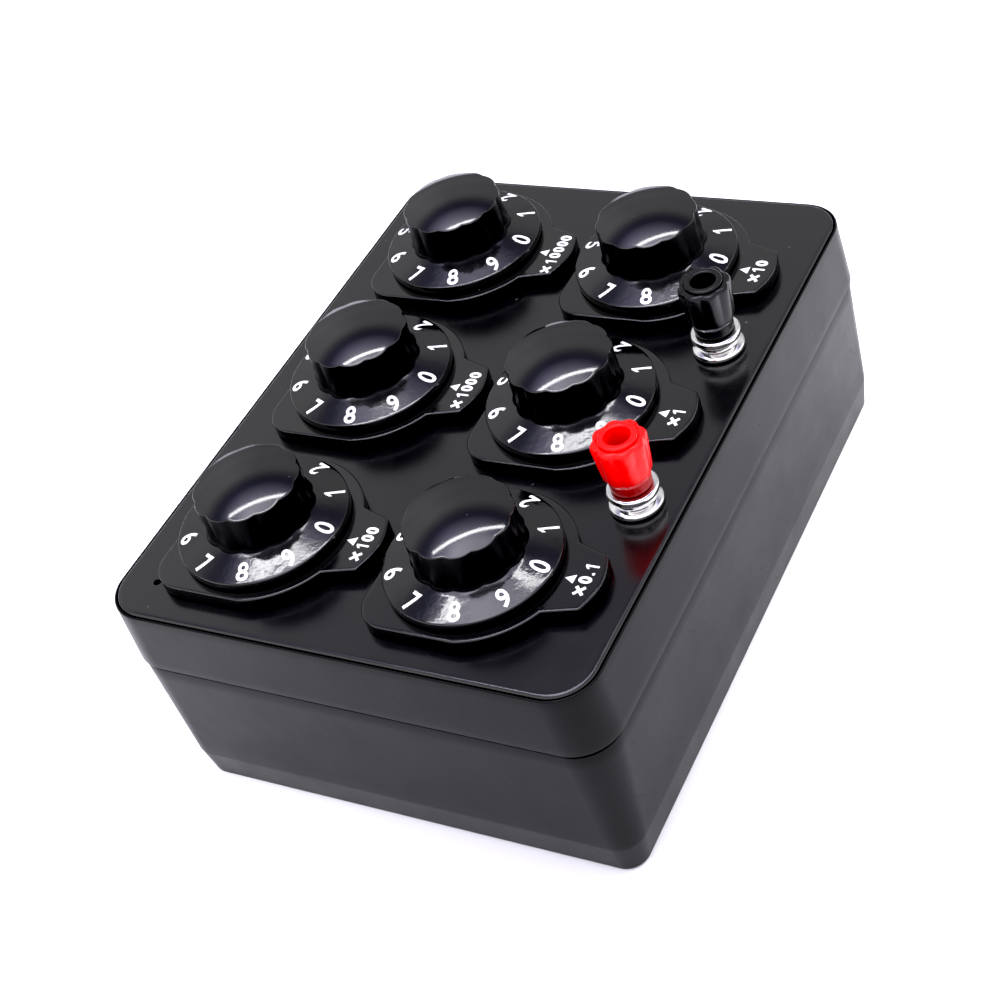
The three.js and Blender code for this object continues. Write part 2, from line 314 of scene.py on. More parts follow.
def mat_resistor(name):
    """Lacquered resistor bodies, with colour bands round the ring."""
    k = Mat(name, (0.10, 0.26, 0.36), 0.35)
    w = k.node("TexWave")
    w.wave_type = "RINGS"
    w.rings_direction = "Y"
    w.inputs["Scale"].default_value = 190
    w.inputs["Distortion"].default_value = 0.4
    k.link(k.co, w.inputs["Vector"])
    band = k.remap(w.outputs["Fac"], 0.86, 0.92, 0.0, 1.0)
    body = k.ramp(k.noise(320, 4.0), [(0.3, (0.075, 0.21, 0.30)), (0.7, (0.12, 0.31, 0.42))])
    k.color(k.mix(band, body, (0.22, 0.05, 0.02)))
    k.rough(k.remap(k.noise(500, 3.0), 0.3, 0.7, 0.25, 0.45))
    k.bump(k.noise(700, 3.0), 0.3, 0.0001)
    return k.m


def mat_ink(name):
    """Screen-printed white figures, slightly uneven."""
    k = Mat(name, (0.86, 0.86, 0.87), 0.5)
    k.color(k.ramp(k.noise(1400, 4.0, 0.65), [(0.25, (0.74, 0.74, 0.76)), (0.5, (0.88, 0.88, 0.89))]))
    k.rough(k.remap(k.noise(2200, 3.0), 0.3, 0.7, 0.4, 0.6))
    k.bump(k.noise(3000, 3.0), 0.3, 0.00003)
    return k.m


MATS = {
    "case_upper": mat_case("case_plastic_upper"),
    "case_lower": mat_case("case_plastic_lower", 0.0004),
    "panel": mat_panel("panel_plastic"),
    "plate": mat_plate("dial_plate_plastic"),
    "knob": mat_knob("knob_gloss", 0.045, 0.10, 0.0),
    "grip": mat_grip("knob_grip_satin"),
    "skirt": mat_knob("knob_skirt_gloss", 0.07, 0.15, 0.00006),
    "nickel": mat_metal("bright_nickel", (0.78, 0.77, 0.76), (0.90, 0.89, 0.88), 0.06, 0.14),
    "brass": mat_metal("spring_brass", (0.58, 0.36, 0.11), (0.76, 0.52, 0.20), 0.22, 0.38, (1, 8, 1)),
    "steel": mat_metal("zinc_steel", (0.42, 0.42, 0.44), (0.60, 0.60, 0.62), 0.28, 0.45, (1, 1, 6)),
    "phenolic": mat_phenolic("phenolic_board"),
    "resistor": mat_resistor("resistor_lacquer"),
    "red": mat_red("post_red_plastic"),
    "black": mat_plastic("post_black_plastic", (0.0008, 0.0008, 0.0010), (0.0018, 0.0018, 0.0022), 0.20, 0.28, spec=0.28),
    "ink": mat_ink("white_figures"),
    "plate_edge": mat_plate_edge("plate_edge_black"),
}

# ---------------------------------------------------------------- mesh helpers


def make(name, verts, faces, mats, body, replaces=(), face_mats=None, sharp=35.0):
    me = bpy.data.meshes.new(name)
    me.from_pydata([(x * MM, y * MM, z * MM) for x, y, z in verts], [], faces)
    for m in mats:
        me.materials.append(MATS[m])
    if face_mats:
        me.polygons.foreach_set("material_index", face_mats)
    me.update()
    ob = bpy.data.objects.new(name, me)
    COLL.objects.link(ob)
    tidy(ob, sharp)
    register(ob, body, replaces)
    return ob


def tidy(ob, sharp=35.0):
    bm = bmesh.new()
    bm.from_mesh(ob.data)
    bmesh.ops.remove_doubles(bm, verts=bm.verts, dist=1e-7)
    bmesh.ops.recalc_face_normals(bm, faces=bm.faces)
    for f in bm.faces:
        f.smooth = True
    lim = math.radians(sharp)
    for e in bm.edges:
        if len(e.link_faces) == 2:
            e.smooth = e.calc_face_angle(0.0) < lim
    bm.to_mesh(ob.data)
    bm.free()
    ob.data.update()


def register(ob, body, replaces):
    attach(ob, body)
    if replaces:
        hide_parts(*replaces)


def rrect(hx, hy, r, z, seg=14):
    """Rounded rectangle, counter-clockwise; the same count of points for any size."""
    pts = []
    for cx, cy, a0 in ((hx - r, hy - r, 0), (-hx + r, hy - r, 90), (-hx + r, -hy + r, 180), (hx - r, -hy + r, 270)):
        for k in range(seg + 1):
            a = math.radians(a0 + 90 * k / seg)
            pts.append((cx + r * math.cos(a), cy + r * math.sin(a), z))
    return pts


def circle(cx, cy, r, z, n):
    return [(cx + r * math.cos(2 * math.pi * k / n), cy + r * math.sin(2 * math.pi * k / n), z) for k in range(n)]


class Build:
    """Collects vertices and faces; rings are lists of vertex indices."""

    def __init__(self):
        self.v, self.f, self.fm = [], [], []

    def ring(self, pts):
        i = len(self.v)
        self.v.extend(pts)
        return list(range(i, i + len(pts)))

    def strip(self, a, b, mat=0):
        n = len(a)
        for i in range(n):
            j = (i + 1) % n
            self.f.append((a[i], a[j], b[j], b[i]))
            self.fm.append(mat)

    def loft(self, rings, mat=0):
        for a, b in zip(rings, rings[1:]):
            self.strip(a, b, mat)

    def cap(self, ring, mat=0):
        self.f.append(tuple(ring))
        self.fm.append(mat)

    def fan(self, ring, centre, mat=0):
        c = len(self.v)
        self.v.append(centre)
        n = len(ring)
        for i in range(n):
            self.f.append((ring[i], ring[(i + 1) % n], c))
            self.fm.append(mat)

    def fill(self, loops, mat=0):
        """Flat face between an outline and its holes, all at one height."""
        bm = bmesh.new()
        back = {}
        edges = []
        for loop in loops:
            vs = [bm.verts.new(self.v[i]) for i in loop]
            for i, v in zip(loop, vs):
                back[v] = i
            for i in range(len(vs)):
                edges.append(bm.edges.new((vs[i], vs[(i + 1) % len(vs)])))
        got = bmesh.ops.triangle_fill(bm, use_beauty=True, use_dissolve=False, edges=edges)
        for g in got["geom"]:
            if isinstance(g, bmesh.types.BMFace):
                self.f.append(tuple(back[v] for v in g.verts))
                self.fm.append(mat)
        bm.free()


def offset(points, d):
    """Moves a closed counter-clockwise 2-D outline inwards by d."""
    n = len(points)
    out = []
    for i in range(n):
        p0, p1, p2 = Vector(points[i - 1][:2]), Vector(points[i][:2]), Vector(points[(i + 1) % n][:2])
        a, b = (p1 - p0).normalized(), (p2 - p1).normalized()
        na, nb = Vector((-a.y, a.x)), Vector((-b.y, b.x))
        m = (na + nb)
        m = m / max(m.length_squared / 2, 0.2)
        q = p1 + m * d
        out.append((q.x, q.y))
    return out


def fillet(points, radii, seg=6):
    """Rounds the corners of a 2-D outline that have a radius; the others stay."""
    n = len(points)
    out = []
    for i in range(n):
        r = radii[i]
        p0, p, p2 = Vector(points[i - 1]), Vector(points[i]), Vector(points[(i + 1) % n])
        if r <= 0:
            out.append((p.x, p.y))
            continue
        a, b = (p0 - p), (p2 - p)
        la, lb = a.length, b.length
        a.normalize(); b.normalize()
        ang = math.acos(max(-1, min(1, a.dot(b))))
        t = min(r / math.tan(ang / 2), la * 0.95, lb * 0.95)
        r2 = t * math.tan(ang / 2)
        c = p + (a + b).normalized() * (r2 / math.sin(ang / 2))
        s, e = p + a * t - c, p + b * t - c
        a0, a1 = math.atan2(s.y, s.x), math.atan2(e.y, e.x)
        d = (a1 - a0 + math.pi) % (2 * math.pi) - math.pi
        for k in range(seg + 1):
            x = a0 + d * k / seg
            out.append((c.x + r2 * math.cos(x), c.y + r2 * math.sin(x)))
    return out


def with_boolean(ob, others, op):
    """Joins or cuts ob with simple closed helpers, applies the result and removes the helpers."""
    for o in others:
        md = ob.modifiers.new("cut", "BOOLEAN")
        md.operation, md.solver, md.object = op, "EXACT", o
    dg = bpy.context.evaluated_depsgraph_get()
    dg.update()
    me = bpy.data.meshes.new_from_object(ob.evaluated_get(dg))
    ob.modifiers.clear()
    old = ob.data
    ob.data = me
    bpy.data.meshes.remove(old)
    for o in others:
        m = o.data
        bpy.data.objects.remove(o)
        bpy.data.meshes.remove(m)


def plain(name, b):
    me = bpy.data.meshes.new(name)
    me.from_pydata([(x * MM, y * MM, z * MM) for x, y, z in b.v], [], b.f)
    me.update()
    ob = bpy.data.objects.new(name, me)
    COLL.objects.link(ob)
    bm = bmesh.new()
    bm.from_mesh(me)
    bmesh.ops.recalc_face_normals(bm, faces=bm.faces)
    bm.to_mesh(me)
    bm.free()
    return ob


def cylinder(x, y, r, z0, z1, n=40):
    b = Build()
    a, c = b.ring(circle(x, y, r, z0, n)), b.ring(circle(x, y, r, z1, n))
    b.strip(a, c)
    b.cap(a)
    b.cap(c)
    return plain("tool", b)


def turned(b, profile, n, cx, cy, z0, mat=0, inner=None):
    """Body of revolution from a closed [r, z] profile that starts and ends on the axis, or closes on itself."""
    rings = []
    for r, z in profile:
        if r < 1e-6:
            rings.append(None)
        else:
            rings.append(b.ring(circle(cx, cy, r, z0 + z, n)))
    for k in range(len(profile) - 1):
        a, c = rings[k], rings[k + 1]
        if a is None and c is None:
            continue
        if a is None:
            b.fan(c, (cx, cy, z0 + profile[k][1]), mat)
        elif c is None:
            b.fan(a, (cx, cy, z0 + profile[k + 1][1]), mat)
        else:
            b.strip(a, c, mat)
    return rings


def soften(profile, radii, seg=5):
    """Rounds the corners of an open [r, z] profile."""
    out = [profile[0]]
    for i in range(1, len(profile) - 1):
        r = radii.get(i, 0) if isinstance(radii, dict) else radii
        if r <= 0:
            out.append(profile[i])
            continue
        p0, p, p2 = Vector(profile[i - 1]), Vector(profile[i]), Vector(profile[i + 1])
        a, c = p0 - p, p2 - p
        la, lc = a.length, c.length
        a.normalize(); c.normalize()
        ang = math.acos(max(-1, min(1, a.dot(c))))
        if ang > math.pi - 0.05:
            out.append(profile[i])
            continue
        t = min(r / math.tan(ang / 2), la * 0.48, lc * 0.48)
        r2 = t * math.tan(ang / 2)
        cc = p + (a + c).normalized() * (r2 / math.sin(ang / 2))
        s, e = p + a * t - cc, p + c * t - cc
        a0, a1 = math.atan2(s.y, s.x), math.atan2(e.y, e.x)
        d = (a1 - a0 + math.pi) % (2 * math.pi) - math.pi
        for k in range(seg + 1):
            x = a0 + d * k / seg
            out.append((cc.x + r2 * math.cos(x), cc.y + r2 * math.sin(x)))
    out.append(profile[-1])
    return out


# ---------------------------------------------------------------- camera, the photograph's viewpoint
cam_data = bpy.data.cameras.new("camera")
cam = bpy.data.objects.new("camera", cam_data)
COLL.objects.link(cam)
SCENE.camera = cam
R0 = Vector((0.4041049522, -0.8840370641, -0.2348992486))
R1 = Vector((-0.6959106650, -0.1304702243, -0.7061769374))
R2 = Vector((0.5936392288, 0.4488384898, -0.6679344849))
EYE = Vector((-0.2605385885, -0.2145220641, 0.3259613131))
rot = Matrix((R0, -R1, -R2)).transposed()
cam.matrix_world = Matrix.Translation(EYE) @ rot.to_4x4()
cam_data.sensor_width = 36
cam_data.lens = 1933.19 / 1000 * 36
cam_data.shift_x = (500 - 585.17) / 1000
cam_data.shift_y = (488.0 - 500) / 1000
cam_data.clip_start = 0.01
cam_data.clip_end = 20
cam_data.dof.use_dof = False

# ---------------------------------------------------------------- panel


def build_panel():
    b = Build()
    lower = [rrect(PANEL_HX - 1.1 - i, PANEL_HY - 1.1 - i, 8.2 - i, z) for i, z in ((0.3, 54.5), (0.0, 54.8), (0.0, 55.9))]
    upper = [rrect(PANEL_HX - i, PANEL_HY - i, 9.2 - i, z) for i, z in ((0.35, 55.9), (0.1, 56.0), (0.0, 56.2))]
    r = 0.85
    for k in range(9):
        a = math.pi / 2 * k / 8
        i = r * (1 - math.cos(a))
        upper.append(rrect(PANEL_HX - i, PANEL_HY - i, 9.2 - i, PANEL_TOP - r + r * math.sin(a)))
    upper.append(rrect(PANEL_HX - 1.6, PANEL_HY - 1.6, 9.2 - 1.6, PANEL_TOP))
    rings = [b.ring(p) for p in lower + upper]
    b.loft(rings)
    holes_top, holes_bottom = [], []
    spec = [(x, y, 4.95, 40, 0.0) for x in COLS for y in ROWS]
    spec += [(x, y, 2.45, 28, 0.0) for x, y in POSTS.values()]
    spec += [(-66.6, 48.5, 0.86, 24, 0.1)]
    for x, y, rr, n, ch in spec:
        if ch:
            t0 = b.ring(circle(x, y, rr + ch, PANEL_TOP, n))
            t1 = b.ring(circle(x, y, rr, PANEL_TOP - ch, n))
            lo = b.ring(circle(x, y, rr, 54.5, n))
            b.loft([t0, t1, lo])
        else:
            t0 = b.ring(circle(x, y, rr, PANEL_TOP, n))
            lo = b.ring(circle(x, y, rr, 54.5, n))
            b.strip(t0, lo)
        holes_top.append(t0)
        holes_bottom.append(lo)
    b.fill([rings[-1]] + holes_top)
    b.fill([rings[0]] + holes_bottom)
    return make("panel_fine", b.v, b.f, ["panel"], "case", ["panel_plate"])


build_panel()

# ---------------------------------------------------------------- case halves


def build_upper():
    b = Build()
    outer = [(0.45, 41.0), (0.12, 41.02), (0.02, 41.1), (0.0, 41.25)]
    rings = [rrect(76.99 - i, 59.18 - i, 10.0 - i, z) for i, z in outer]
    for k in range(1, 8):
        t = k / 8
        rings.append(rrect(76.99 - 0.13 * t, 59.18 - 0.92 * t, 10.0 - 0.06 * t, 41.25 + 15.6 * t))
    for k in range(5):
        a = math.pi / 2 * k / 4
        i = 0.28 * (1 - math.cos(a))
        rings.append(rrect(76.85 - i, 58.25 - i, 9.95 - i, 57.12 + 0.28 * math.sin(a)))
    rings.append(rrect(76.42, 57.82, 9.52, 57.4))
    rings.append(rrect(76.35, 57.75, 9.45, 57.33))
    rings.append(rrect(76.35, 57.75, 9.45, 55.6))
    rings.append(rrect(75.3, 56.7, 8.4, 55.6))
    rings.append(rrect(75.3, 56.7, 8.4, 54.2))
    rings.append(rrect(73.3, 54.3, 6.1, 54.2))
    rings.append(rrect(73.2, 54.2, 6.0, 54.1))
    rings.append(rrect(73.2, 54.2, 6.0, 51.6))
    rings.append(rrect(74.8, 56.6, 6.6, 51.6))
    rings.append(rrect(74.95, 56.87, 6.6, 41.0))
    ids = [b.ring(p) for p in rings]
    b.loft(ids + [ids[0]])
    ob = plain("upper_case_fine", b)
    add, cut = [], []
    for i, j in ((-1, -1), (1, -1), (1, 1), (-1, 1)):
        add.append(cylinder(i * BOSS[0], j * BOSS[1], 4.0, 41.6, 54.0))
        add.append(rib_tool(i, j, 43.0, 53.1, 7.4))
        cut.append(cylinder(i * BOSS[0], j * BOSS[1], 1.8, 40.6, 50))
    with_boolean(ob, add, "UNION")
    with_boolean(ob, cut, "DIFFERENCE")
    ob.data.materials.clear()
    ob.data.materials.append(MATS["case_upper"])
    tidy(ob, 32)
    register(ob, "case", ["upper_case"])
    return ob


def rib_tool(i, j, z0, z1, length):
    b = Build()
    a = math.atan2(j, i)
    c, s = math.cos(a), math.sin(a)
    pts = [(0, -1.5), (length, -1.5), (length, 1.5), (0, 1.5)]
    lo = b.ring([(i * BOSS[0] + x * c - y * s, j * BOSS[1] + x * s + y * c, z0) for x, y in pts])
    hi = b.ring([(i * BOSS[0] + x * c - y * s, j * BOSS[1] + x * s + y * c, z1) for x, y in pts])
    b.strip(lo, hi)
    b.cap(lo)
    b.cap(hi)
    return plain("tool", b)


def build_lower():
    b = Build()
    rings = []
    # underside edge
    for k in range(6):
        a = math.pi / 2 * k / 5
        i = 0.8 * (1 - math.sin(a))
        rings.append(rrect(74.36 + 0.05 * k / 5 - i, 56.06 + 0.05 * k / 5 - i, 4.9 - i * 0.6, 0.8 * (1 - math.cos(a))))
    # foot band, then the drafted wall that opens out to the lid
    rings.append(rrect(75.38, 57.08, 5.9, 8.0))
    rings.append(rrect(75.48, 57.18, 6.0, 8.5))
    rings.append(rrect(75.53, 57.24, 6.1, 9.1))
    for k in range(1, 8):
        t = k / 8
        rings.append(rrect(75.53 + 1.0 * t, 57.24 + 1.34 * t, 6.1 + 3.0 * t, 9.1 + 31.1 * t))
    rings.append(rrect(76.51, 58.56, 9.13, 39.92))
    rings.append(rrect(76.47, 58.52, 9.1, 40.04))
    rings.append(rrect(76.36, 58.41, 9.0, 40.1))
    rings.append(rrect(74.4, 56.2, 7.0, 40.1))
    rings.append(rrect(74.4, 56.2, 7.0, 42.2))
    rings.append(rrect(74.2, 56.0, 6.8, 42.5))
    rings.append(rrect(73.1, 54.8, 4.9, 42.5))
    rings.append(rrect(73.0, 54.7, 4.8, 42.4))
    rings.append(rrect(73.0, 54.7, 4.8, 36.6))
    rings.append(rrect(73.89, 55.71, 6.0, 36.6))
    rings.append(rrect(73.02, 54.72, 4.6, 3.4))
    rings.append(rrect(72.4, 54.1, 4.0, 2.8))
    ids = [b.ring(p) for p in rings]
    b.loft(ids)
    b.cap(ids[-1])
    inner = b.ring(rrect(72.0, 53.8, 4.0, 0.0))
    b.strip(ids[0], inner)
    b.cap(inner)
    ob = plain("lower_case_fine", b)
    add, cut = [], []
    for i, j in ((-1, -1), (1, -1), (1, 1), (-1, 1)):
        add.append(cylinder(i * BOSS[0], j * BOSS[1], 5.0, 1.0, PART_Z + 0.3))
        add.append(rib_tool(i, j, 1.0, 32, 5.6))
        cut.append(cylinder(i * BOSS[0], j * BOSS[1], 3.3, -1, 26))
        cut.append(cylinder(i * BOSS[0], j * BOSS[1], 1.8, 20, 45))
    with_boolean(ob, add, "UNION")
    with_boolean(ob, cut, "DIFFERENCE")
    ob.data.materials.clear()
    ob.data.materials.append(MATS["case_lower"])
    tidy(ob, 32)
    register(ob, "case", ["lower_case"])
    return ob


build_upper()
build_lower()

# ---------------------------------------------------------------- dial plates


def plate_outline():
    pts, rad = [], []

    def arc(cx, cy, r, a0, a1, n):
        for k in range(n + 1):
            a = math.radians(a0 + (a1 - a0) * k / n)
            pts.append((cx + r * math.cos(a), cy + r * math.sin(a)))
            rad.append(0)

    arc(13.1, 11.6, 7.5, 0, 90, 14)
    arc(-13.1, 11.6, 7.5, 90, 180, 14)
    arc(0, -0.6, 21.12, 192.7, 243.0, 22)
    pts.append((-9.3, -20.2)); rad.append(0.8)
    pts.append((-7.3, -26.85)); rad.append(0.7)
    for k in range(1, 12):
        t = k / 12
        x = -7.3 + 14.6 * t
        pts.append((x, -26.85 - 1.8 * math.sin(math.pi * t)))
        rad.append(0)
    pts.append((7.3, -26.85)); rad.append(0.7)
    pts.append((9.3, -20.2)); rad.append(0.8)
    arc(0, -0.6, 21.12, 297.0, 347.3, 22)
    return fillet(pts, rad)


OUTLINE = plate_outline()


def build_plate(name, x, y):
    b = Build()
    z0 = PANEL_TOP + 0.3
    steps = [(0.12, 0.0), (0.0, 0.12), (0.0, 2.68)]
    for k in range(1, 6):
        a = math.pi / 2 * k / 5
        steps.append((0.32 * (1 - math.cos(a)), 2.68 + 0.32 * math.sin(a)))
    steps.append((0.75, 3.0))
    rings = [b.ring([(x + px, y + py, z0 + z) for px, py in offset(OUTLINE, i)]) for i, z in steps]
    b.strip(rings[0], rings[1])
    b.strip(rings[1], rings[2], 1)
    for k in range(2, len(rings) - 1):
        b.strip(rings[k], rings[k + 1])
    top = b.ring(circle(x, y, 4.95, z0 + 3.0, 40))
    low = b.ring(circle(x, y, 4.95, z0, 40))
    b.strip(top, low)
    b.fill([rings[-1], top])
    b.fill([rings[0], low])
    make(f"dial_plate_{name}_fine", b.v, b.f, ["plate", "plate_edge"], "case", [f"dial_plate_{name}"], face_mats=b.fm)


# ---------------------------------------------------------------- knobs
N_THETA = 400
DOME_R = 31.0
APEX = 18.65


def dome(r):
    """Height of the crown above the panel at radius r."""
    return APEX - (DOME_R - math.sqrt(DOME_R * DOME_R - r * r))


def flute(theta_deg):
    """0 in the notch between two lobes, 1 on the crown of a lobe; twelve lobes."""
    s = abs(math.sin(math.radians(6 * (theta_deg - 162.0))))
    return math.sqrt(s * s + 0.02) / math.sqrt(1.02)


def lobe_radius(theta, z):
    """Wall of the grip: drafted lobes with narrow notches."""
    crown = 11.74 + (16.4 - z) * 0.02
    depth = 0.55
    return crown - depth * (1 - flute(theta)) ** 1.2


CONE_IN, CONE_OUT = (12.05, 7.55), (19.0, 5.6)


def cone_z(r):
    return CONE_OUT[1] + (CONE_OUT[0] - r) * (CONE_IN[1] - CONE_OUT[1]) / (CONE_OUT[0] - CONE_IN[0])


def build_knob(name, x, y):
    b = Build()
    z0 = PANEL_TOP
    th = [360 * k / N_THETA for k in range(N_THETA)]

    def ring(fn):
        pts = []
        for t in th:
            r, z = fn(t)
            a = math.radians(t)
            pts.append((x + r * math.cos(a), y + r * math.sin(a), z0 + z))
        return b.ring(pts)

    fr = 0.28   # rounding where the crown meets the grip wall
    def edge(t):
        r = lobe_radius(t, 15.0)
        for _ in range(3):
            r = lobe_radius(t, dome(r))
        return r

    E = {t: edge(t) for t in th}
    rings = []
    for s in (0.1, 0.22, 0.34, 0.46, 0.57, 0.67, 0.76, 0.84, 0.90, 0.95, 0.985):
        rings.append(ring(lambda t, s=s: ((E[t] - fr) * s, dome((E[t] - fr) * s))))
    for k in range(6):
        a = math.radians(90 - 90 * k / 5)
        def f(t, a=a):
            e = E[t] - fr
            zc = dome(e) - fr
            return e + fr * math.cos(a), zc + fr * math.sin(a)
        rings.append(ring(f))
    crown_end = len(rings) - 2
    for k in range(1, 6):
        def f(t, k=k):
            zt = dome(E[t] - fr) - fr
            z = zt + (8.3 - zt) * k / 5
            return lobe_radius(t, z), z
        rings.append(ring(f))
    def foot(t, k):
        r1 = lobe_radius(t, 8.3)
        r2 = lobe_radius(t, 7.6) + 0.5
        p0, p1, p2 = Vector((r1, 8.3)), Vector((r1 + 0.04, cone_z(r1))), Vector((r2, cone_z(r2)))
        u = k / 4
        q = p0 * (1 - u) ** 2 + p1 * 2 * u * (1 - u) + p2 * u * u
        return q.x, q.y
    for k in range(1, 5):
        rings.append(ring(lambda t, k=k: foot(t, k)))
    grip_end = len(rings) - 1
    for r in (13.2, 14.4, 15.6, 16.8, 17.8, 18.4):
        rings.append(ring(lambda t, r=r: (r, cone_z(r))))
    rim = soften([(18.4, cone_z(18.4)), (19.0, 5.6), (19.0, 3.65), (17.7, 3.65), (17.7, 4.7), (9.4, 5.9), (3.35, 5.9), (3.35, 14.7)], {1: 0.3, 2: 0.25, 3: 0.12, 4: 0.25})
    for r, z in rim[1:-3]:
        rings.append(ring(lambda t, r=r, z=z: (r, z)))
    rings.append(ring(lambda t: (9.4, 5.9)))
    rings.append(ring(lambda t: (3.35, 5.9)))
    rings.append(ring(lambda t: (3.35, 7.6)))
    def dee(t):
        c = math.cos(math.radians(t))
        return min(3.35, 2.5 / c) if c > 0.01 else 3.35
    rings.append(ring(lambda t: (dee(t), 7.6)))
    rings.append(ring(lambda t: (dee(t), 14.7)))
    b.fan(rings[0], (x, y, z0 + APEX))
    for k in range(len(rings) - 1):
        b.strip(rings[k], rings[k + 1], 1 if k >= grip_end else 0)
    b.fan(rings[-1], (x, y, z0 + 14.7))
    for f_i, (lo_r, hi_r) in enumerate(zip(rings, rings[1:])):
        if crown_end <= f_i < grip_end:
            for q in range(N_THETA):
                b.fm[N_THETA * (f_i + 1) + q] = 2
    make(f"knob_{name}_fine", b.v, b.f, ["knob", "skirt", "grip"], f"{name}_dial", [f"knob_{name}"], face_mats=b.fm, sharp=38)


# ---------------------------------------------------------------- figures


def glyphs(body, height, bold, stretch=1.0, thick=0.045):
    """Closed 3-D letters, centred, as a bmesh in mm; each one is scaled to the same height."""
    if body == "1":
        w = 1.05 + 2.2 * bold
        s = height / 10
        pts = [(w / 2, -5.0), (w / 2, 5.0), (-w * 0.35, 5.0), (-w / 2 - 2.0, 3.1), (-w / 2 - 2.0, 3.1 - w * 1.15), (-w / 2, 5.0 - w * 1.5), (-w / 2, -5.0)]
        bm = bmesh.new()
        lo = [bm.verts.new(((px + 0.7) * s * stretch, py * s, -thick)) for px, py in pts]
        hi = [bm.verts.new(((px + 0.7) * s * stretch, py * s, thick)) for px, py in pts]
        for k in range(len(pts)):
            j = (k + 1) % len(pts)
            bm.faces.new((lo[k], lo[j], hi[j], hi[k]))
        for loop in (lo, hi):
            bm.faces.new((loop[0], loop[1], loop[2], loop[5], loop[6]))
            bm.faces.new((loop[2], loop[3], loop[4], loop[5]))
        return bm
    cu = bpy.data.curves.new("type", "FONT")
    cu.body = body
    cu.size = 10
    cu.offset = bold
    cu.extrude = 0.5
    cu.resolution_u = 5
    ob = bpy.data.objects.new("type", cu)
    COLL.objects.link(ob)
    dg = bpy.context.evaluated_depsgraph_get()
    me = bpy.data.meshes.new_from_object(ob.evaluated_get(dg))
    bpy.data.objects.remove(ob)
    bpy.data.curves.remove(cu)
    xs = [v.co.x for v in me.vertices]
    ys = [v.co.y for v in me.vertices]
    s = height / (max(ys) - min(ys))
    cx, cy = (max(xs) + min(xs)) / 2, (max(ys) + min(ys)) / 2
    bm = bmesh.new()
    bm.from_mesh(me)
    bpy.data.meshes.remove(me)
    bmesh.ops.remove_doubles(bm, verts=bm.verts, dist=1e-4)
    for v in bm.verts:
        v.co = Vector(((v.co.x - cx) * s * stretch, (v.co.y - cy) * s, thick if v.co.z > 0 else -thick))
    return bm


def cut_up(bm, step, half):
    k = -half
    while k <= half:
        bmesh.ops.bisect_plane(bm, geom=bm.verts[:] + bm.edges[:] + bm.faces[:], plane_co=(k, 0, 0), plane_no=(1, 0, 0), dist=1e-5)
        k += step


FIGURE_TURN = {"hundreds": -1.2, "thousands": -4.0, "ten_thousands": 1.0, "tenths": -3.0, "units": -2.0, "tens": -2.0}


def build_figures(name, x, y):
    verts, faces = [], []
    for n in range(10):
        bm = glyphs(str(n), 4.25, 0.17, 0.94 if n != 1 else 1.0)
        cut_up(bm, 0.45, 1.8)
        a0 = -90 + 36 * n + FIGURE_TURN[name]
        i0 = len(verts)
        bm.verts.index_update()
        for v in bm.verts:
            r = 16.2 - v.co.y
            a = math.radians(a0) + v.co.x / 16.2
            verts.append((x + r * math.cos(a), y + r * math.sin(a), PANEL_TOP + cone_z(r) + v.co.z))
        for f in bm.faces:
            faces.append(tuple(i0 + v.index for v in f.verts))
        bm.free()
    make(f"figures_{name}", verts, faces, ["ink"], f"{name}_dial", (), sharp=50)


def build_marks(name, x, y, label, start):
    verts, faces = [], []
    top = PANEL_TOP + 3.3

    def add(bm, cx, cy):
        i0 = len(verts)
        bm.verts.index_update()
        for v in bm.verts:
            verts.append((x + cx + v.co.x, y + cy + v.co.y, top + v.co.z))
        for f in bm.faces:
            faces.append(tuple(i0 + v.index for v in f.verts))
        bm.free()

    px = start
    prev = None
    for ch in label:
        if prev is not None:
            px += {"×": 2.9, "1": 2.35}.get(prev, 1.75 if "." in (prev, ch) else 2.2)
        h = {"×": 2.5, ".": 0.66}.get(ch, 2.92)
        add(glyphs(ch, h, 0.26 if ch in "×1" else 0.44, 1.0 if ch in "×.1" else 0.95, 0.035), px - 0.5, -25.0 - (1.05 if ch == "." else 0.0))
        prev = ch
    i0 = len(verts)
    for z in (top - 0.035, top + 0.035):
        for px, py in ((-0.15, -20.65), (-1.3, -22.8), (1.0, -22.8)):
            verts.append((x + px, y + py, z))
    faces += [(i0, i0 + 1, i0 + 2), (i0 + 3, i0 + 5, i0 + 4), (i0, i0 + 3, i0 + 4, i0 + 1), (i0 + 1, i0 + 4, i0 + 5, i0 + 2), (i0 + 2, i0 + 5, i0 + 3, i0)]
    make(f"marks_{name}", verts, faces, ["ink"], "case", (), sharp=50)


for name, (x, y, label, start) in DECADES.items():
    build_plate(name, x, y)
    build_knob(name, x, y)
    build_figures(name, x, y)
    build_marks(name, x, y, label, start)

# ---------------------------------------------------------------- binding posts


def nut_radius(t, z):
    """Grip of the thumb nut: eight lobes that fade and draw in towards the neck."""
    u = min(max((z - 9.4) / 7.4, 0.0), 1.0)
    f = (0.5 + 0.5 * math.cos(math.radians(8 * (t + 8.0)))) ** 0.7
    return 5.02 + 0.27 * u + (0.26 + 0.38 * u) * f


